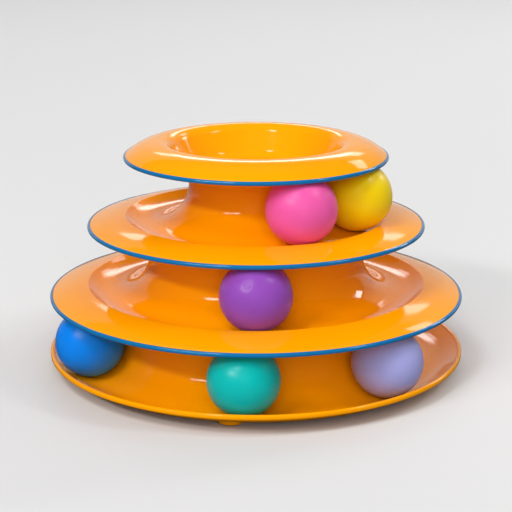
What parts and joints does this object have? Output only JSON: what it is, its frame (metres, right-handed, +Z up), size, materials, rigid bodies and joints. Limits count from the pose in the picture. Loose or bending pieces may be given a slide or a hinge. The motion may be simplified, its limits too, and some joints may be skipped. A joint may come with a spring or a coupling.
{
  "type": "cat ball track toy",
  "caption": "Round stacking cat toy: open ring tracks with loose play balls rise in tiers over a base tray, under a treat dish",
  "frame": {"origin": "on the ground, on the axis that every tier is turned about, under the middle of the stack", "axes": "+Z up; -Y is the front, where the picture looks from; +X is to the right seen from the front"},
  "size_m": [0.25, 0.25, 0.1381],
  "materials": {
    "orange_plastic": "glossy injection moulded polypropylene",
    "blue_trim": "glossy extruded bead",
    "pink_ball": "satin blow moulded shell",
    "yellow_ball": "satin blow moulded shell",
    "purple_ball": "satin blow moulded shell",
    "teal_ball": "satin blow moulded shell",
    "blue_ball": "satin blow moulded shell",
    "lavender_ball": "satin blow moulded shell",
    "rubber_pads": "matt rubber"
  },
  "bodies": {
    "tower": {"base_tray": "orange_plastic", "lower_tier": "orange_plastic", "middle_tier": "orange_plastic", "top_dish": "orange_plastic", "lower_rim_trim": "blue_trim", "middle_rim_trim": "blue_trim", "top_rim_trim": "blue_trim", "foot_pads": "rubber_pads"},
    "pink": {"ball_pink": "pink_ball"},
    "yellow": {"ball_yellow": "yellow_ball"},
    "purple": {"ball_purple": "purple_ball"},
    "teal": {"ball_teal": "teal_ball"},
    "blue": {"ball_blue": "blue_ball"},
    "lavender": {"ball_lavender": "lavender_ball"}
  },
  "joints": [
    {"name": "pink_roll_round", "type": "hinge", "parent": "tower", "child": "pink", "pos_m": [0, 0, 0], "axis": [0, 0, 1], "continuous": true},
    {"name": "yellow_roll_round", "type": "hinge", "parent": "pink", "child": "yellow", "pos_m": [0, 0, 0], "axis": [0, 0, 1], "range_deg": [-5.5, 279]},
    {"name": "purple_roll_round", "type": "hinge", "parent": "tower", "child": "purple", "pos_m": [0, 0, 0], "axis": [0, 0, 1], "continuous": true},
    {"name": "teal_roll_round", "type": "hinge", "parent": "tower", "child": "teal", "pos_m": [0, 0, 0], "axis": [0, 0, 1], "continuous": true},
    {"name": "lavender_roll_round", "type": "hinge", "parent": "teal", "child": "lavender", "pos_m": [0, 0, 0], "axis": [0, 0, 1], "range_deg": [-26, 111.7]},
    {"name": "blue_roll_round", "type": "hinge", "parent": "teal", "child": "blue", "pos_m": [0, 0, 0], "axis": [0, 0, 1], "range_deg": [-111.7, 41.7]}
  ]
}
